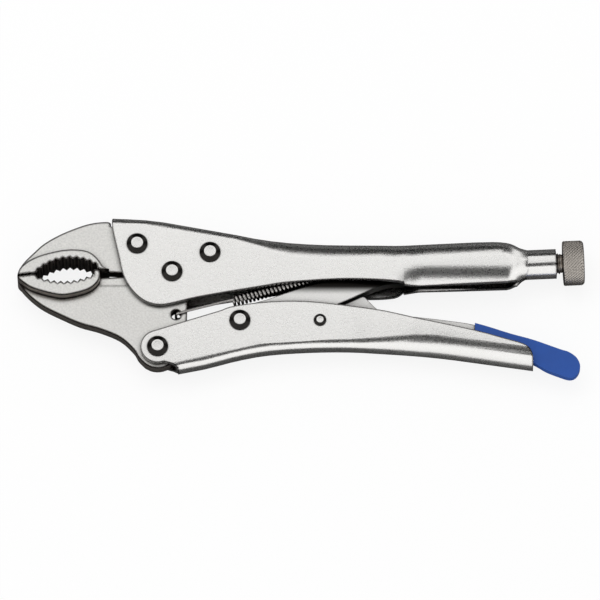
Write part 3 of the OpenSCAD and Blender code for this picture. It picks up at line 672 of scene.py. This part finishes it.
class PLIERS_OT_knob(bpy.types.Operator):
    """Turn and knurl the adjusting knob"""
    bl_idname = "pliers.knob"
    bl_label = "Adjusting knob"

    def execute(self, context):
        sizes, finish = context.scene.pliers_sizes, context.scene.pliers_finish
        # the shade in the knurl grooves is painted shade
        steel = metal("knurled steel", finish.screw, roughness=0.3, grain=0.4,
                      grain_height=0.02, tone=0.3, corner_shade=0.95, reach=0.8)
        radius, length, bore = 9.9 * MM, 9.3 * MM, 3.05 * MM
        start, foot = SCREW_LEN - STEM_LEN, 0.1 * MM  # the foot clears the screw's shoulder
        front, back = 0.6 * MM, 1.6 * MM  # radii of the two rounded rims
        land, dish, steps = 3.2 * MM, 0.35 * MM, 44  # the end face: outer ring, dished middle
        knurl_from, knurl_to = foot + front, length - back
        outline = [(bore, foot), (radius - 2.2 * MM, foot)]
        outline += arc((radius - front, knurl_from), front, -90, 0, 4)
        outline += [(radius, knurl_from + (knurl_to - knurl_from) * i / steps)
                    for i in range(1, steps)]
        outline += arc((radius - back, knurl_to), back, 0, 90, 10)
        outline += [(radius - land, length), (radius - land - 0.4 * MM, length - dish),
                    (0.4 * MM, length - dish), (0.3 * MM, length - 1.5 * MM)]
        cell = 2 * math.pi * radius / sizes.knurls
        rows = []
        for r, h in outline:
            fade = max(0.0, min(1.0, (r - radius + 1.0 * MM) / (0.9 * MM)))
            row = []
            for a in circle(sizes.knurls * 8):
                u, v = a * radius / cell, h / cell
                rising, falling = (1 - min(1.0, 2.6 * abs(line % 1 - 0.5))
                                   for line in (u + v, u - v))
                cut = sizes.knurl_depth * fade * max(rising, 0.45 * falling)
                row.append((r - cut, start + h))
            rows.append(row)
        mesh = grid_mesh("knob_knurl", screw_rings(rows))
        add_piece("knurled_knob", mesh, "adjusting_knob", steel,
                  ["adjusting_knob"])
        return {"FINISHED"}


class PLIERS_OT_spring(bpy.types.Operator):
    """Wind the tension spring and its hooks"""
    bl_idname = "pliers.spring"
    bl_label = "Tension spring"

    def execute(self, context):
        sizes, finish = context.scene.pliers_sizes, context.scene.pliers_finish
        # the shade between the turns of the wire is painted shade
        steel = metal("spring steel", finish.spring, roughness=0.25, grain=0.5,
                      grain_height=0.01, tone=0.2, corner_shade=0.97, reach=2.5)
        hook = JAW_PIVOT + Vector((1.8, -19.4, 0)) * MM  # in the moving jaw's hole
        anchor = JAW_PIVOT + Vector((84.0, 4.6, 0)) * MM  # on the fixed handle's tab
        span = (anchor - hook).length / MM
        along = (anchor - hook).normalized()
        side = Vector((-along.y, along.x, 0))
        up = Vector((0, 0, 1))

        def at(x, y, z):
            """A point x millimetres from the hook along the spring, y across it, z above."""
            return hook + (along * x + side * y + up * z) * MM

        wire_r, coil_r, pitch, per_turn = 0.575, 2.125, 1.76, 20
        eye_r, eye_steps, bend_r, coil_start = 3.775, 8, 2.375, 26.0
        coil_end = coil_start + sizes.coil_turns * pitch
        round_jaw = [at(4.5, 0, -eye_r), at(1.6, 0, -eye_r), at(0.5, 0, -eye_r + 0.6),
                     at(0, 0, -eye_r + 1.8), at(0, 0, 0), at(0, 0, eye_r - 1.8),
                     at(0.5, 0, eye_r - 0.6), at(1.6, 0, eye_r), at(8, 0, eye_r - 0.1),
                     at(coil_start - 5, 0, coil_r + 0.4)]
        path = smooth_path(round_jaw, 6)
        steps = sizes.coil_turns * per_turn
        for i in range(steps + 1):
            a = 2 * math.pi * i / per_turn
            path.append(at(coil_start + (coil_end - coil_start) * i / steps,
                           -coil_r * math.sin(a), coil_r * math.cos(a)))
        round_tab = [at(coil_end + 1.5, 0, coil_r), at(coil_end + 4, 0, bend_r)]
        round_tab += [at(span + bend_r * math.cos(b), 0, bend_r * math.sin(b))
                      for b in (math.radians(90 - 180 * i / eye_steps)
                                for i in range(eye_steps + 1))]
        round_tab.append(at(span - 2.5, 0, -bend_r))
        path += smooth_path(round_tab, 4)
        mesh = tube("spring_wire", path, wire_r * MM, 10)
        piece = add_piece("wound_spring", mesh, "fixed_handle", steel,
                          ["tension_spring"])
        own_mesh(piece)
        return {"FINISHED"}


class PLIERS_OT_stage(bpy.types.Operator):
    """Lay the floor, hang the lights and cards, and place the camera"""
    bl_idname = "pliers.stage"
    bl_label = "Stage"

    def execute(self, context):
        stage = context.scene.pliers_stage
        self.floor(context, stage)
        self.room(context, stage)
        self.cards(context)
        self.lamp(context)
        self.camera(context, stage)
        context.scene.view_settings.view_transform = "Standard"
        return {"FINISHED"}

    def sheet(self, context, name, corners, material):
        """A flat sheet of the studio, which isn't a piece of the part."""
        mesh = bpy.data.meshes.new(name)
        mesh.from_pydata(corners, [], [(0, 1, 2, 3)])
        made = bpy.data.objects.new(name, mesh)
        made.data.materials.append(material)
        context.scene.collection.objects.link(made)
        return made

    def seen(self, tree):
        """A mask of the rays that see the white of the stage: camera, mirror and glass."""
        ray = tree.nodes.new("ShaderNodeLightPath")
        either = node(tree, "ShaderNodeMath", operation="MAXIMUM")
        glass = node(tree, "ShaderNodeMath", operation="MAXIMUM")
        wire(tree, ray.outputs["Is Camera Ray"], either.inputs[0])
        wire(tree, ray.outputs["Is Glossy Ray"], either.inputs[1])
        wire(tree, either.outputs[0], glass.inputs[0])
        wire(tree, ray.outputs["Is Transmission Ray"], glass.inputs[1])
        return glass.outputs[0]

    def floor(self, context, stage):
        """White paper that shows the shadow, a hair under the part."""
        paper = bpy.data.materials.new("floor paper")
        paper.use_nodes = True
        tree = paper.node_tree
        shader = tree.nodes["Principled BSDF"]
        shader.inputs["Roughness"].default_value = 0.9
        shader.inputs["Specular IOR Level"].default_value = 0.0
        shader.inputs["Base Color"].default_value = (*stage.floor, 1)
        glow = node(tree, "ShaderNodeEmission", {"Color": (1, 1, 1, 1), "Strength": 1.0})
        mix = tree.nodes.new("ShaderNodeMixShader")
        wire(tree, product(tree, self.seen(tree), stage.glow), mix.inputs[0])
        wire(tree, shader.outputs[0], mix.inputs[1])
        wire(tree, glow.outputs[0], mix.inputs[2])
        wire(tree, mix.outputs[0], tree.nodes["Material Output"].inputs["Surface"])
        half, level = 4.0, -0.05 * MM
        self.sheet(context, "floor", [(-half, -half, level), (half, -half, level),
                                      (half, half, level), (-half, half, level)], paper)

    def room(self, context, stage):
        """Even light from all round, plain white where it is seen."""
        world = bpy.data.worlds.new("room")
        world.use_nodes = True
        context.scene.world = world
        tree = world.node_tree
        tree.nodes.clear()
        out = tree.nodes.new("ShaderNodeOutputWorld")
        light = node(tree, "ShaderNodeBackground", {"Strength": stage.sky})
        seen = node(tree, "ShaderNodeBackground", {"Strength": 1.0})
        for shade in (light, seen):
            shade.inputs["Color"].default_value = (1, 1, 1, 1)
        mix = tree.nodes.new("ShaderNodeMixShader")
        wire(tree, self.seen(tree), mix.inputs[0])
        wire(tree, light.outputs[0], mix.inputs[1])
        wire(tree, seen.outputs[0], mix.inputs[2])
        wire(tree, mix.outputs[0], out.inputs[0])

    def card(self, context, name, corners, shade):
        """A dark sheet that only mirrors see."""
        dark = bpy.data.materials.new(name)
        dark.use_nodes = True
        shader = dark.node_tree.nodes["Principled BSDF"]
        shader.inputs["Base Color"].default_value = (shade, shade, shade, 1)
        shader.inputs["Roughness"].default_value = 1.0
        shader.inputs["Specular IOR Level"].default_value = 0.0
        made = self.sheet(context, name, corners, dark)
        made.visible_camera = False
        made.visible_diffuse = False
        made.visible_shadow = False
        made.visible_transmission = False

    def cards(self, context):
        """The dark surroundings that the metal mirrors as bands."""
        reach, black, grey = 2.4, 0.012, 0.12

        def hung(angle_from, angle_to, start, end):
            """A card between these degrees from overhead towards +Y, from start to end in X."""
            low_side, high_side = (
                (reach * math.sin(a), reach * math.cos(a))
                for a in (math.radians(angle_from), math.radians(angle_to)))
            return [(start, *low_side), (end, *low_side), (end, *high_side),
                    (start, *high_side)]

        self.card(context, "overhead_card", hung(-36, 11, -1.0, 1.0), black)
        self.card(context, "far_side_card", hung(40, 92, -1.0, 1.0), black)
        for name, sign in (("left_card", -1), ("right_card", 1)):
            to_side = [(sign * y, x, z) for x, y, z in hung(42, 85, 0.2, 1.4)]
            self.card(context, name, to_side, grey)
        half, near, level = 0.6, -0.058, 0.02 * MM
        self.card(context, "under_card", [(-half, near, level), (half, near, level),
                                          (half, half, level), (-half, half, level)], 0.09)

    def lamp(self, context):
        """One wide soft box, above and behind."""
        data = bpy.data.lights.new("soft_box", "AREA")
        data.shape = "RECTANGLE"
        data.size, data.size_y = 1.4, 0.7
        data.energy = 7.0
        lamp = bpy.data.objects.new("soft_box", data)
        lamp.location = (-0.3, 0.55, 1.4)
        lamp.rotation_euler = (Vector((0, 0, 0)) - lamp.location).to_track_quat(
            "-Z", "Y").to_euler()
        lamp.visible_glossy = False
        context.scene.collection.objects.link(lamp)

    def camera(self, context, stage):
        """A long lens over the middle of the part, the part's length across its view."""
        data = bpy.data.cameras.new("camera")
        distance = 5.0
        data.sensor_width = 36.0
        data.lens = data.sensor_width * distance / stage.field
        data.clip_end = 50.0
        made = bpy.data.objects.new("camera", data)
        target = Vector((-0.0005, -0.0001, 0.0099))
        made.location = target + distance * Vector(
            (0, -math.cos(stage.elevation), math.sin(stage.elevation)))
        made.rotation_euler = (math.pi / 2 - stage.elevation, 0, 0)
        context.scene.collection.objects.link(made)
        context.scene.camera = made


class PLIERS_PT_panel(bpy.types.Panel):
    """The pieces of the pliers, in the order they are built"""
    bl_label = "Locking Pliers"
    bl_idname = "PLIERS_PT_panel"
    bl_space_type = "VIEW_3D"
    bl_region_type = "UI"
    bl_category = "Pliers"

    def draw(self, context):
        column = self.layout.column(align=True)
        for step in STEPS:
            column.operator(step.bl_idname)
        for group in ("pliers_sizes", "pliers_finish", "pliers_stage"):
            box = self.layout.box()
            settings = getattr(context.scene, group)
            for key in settings.__annotations__:
                box.prop(settings, key)


STEPS = (
    PLIERS_OT_stage, PLIERS_OT_handles, PLIERS_OT_jaws, PLIERS_OT_link_and_lever,
    PLIERS_OT_sleeve, PLIERS_OT_rivets, PLIERS_OT_screw, PLIERS_OT_knob, PLIERS_OT_spring,
)
CLASSES = (PliersSizes, PliersFinish, PliersStage, *STEPS, PLIERS_PT_panel)


def register():
    """Adds the classes, and the settings to the scene."""
    for made in CLASSES:
        bpy.utils.register_class(made)
    bpy.types.Scene.pliers_sizes = bpy.props.PointerProperty(type=PliersSizes)
    bpy.types.Scene.pliers_finish = bpy.props.PointerProperty(type=PliersFinish)
    bpy.types.Scene.pliers_stage = bpy.props.PointerProperty(type=PliersStage)


def unregister():
    """Takes the settings and the classes out again."""
    for group in ("pliers_sizes", "pliers_finish", "pliers_stage"):
        delattr(bpy.types.Scene, group)
    for made in reversed(CLASSES):
        bpy.utils.unregister_class(made)


def main():
    """Registers the add-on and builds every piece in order."""
    register()
    for step in STEPS:
        area, name = step.bl_idname.split(".")
        getattr(getattr(bpy.ops, area), name)()


if __name__ == "__main__":
    main()
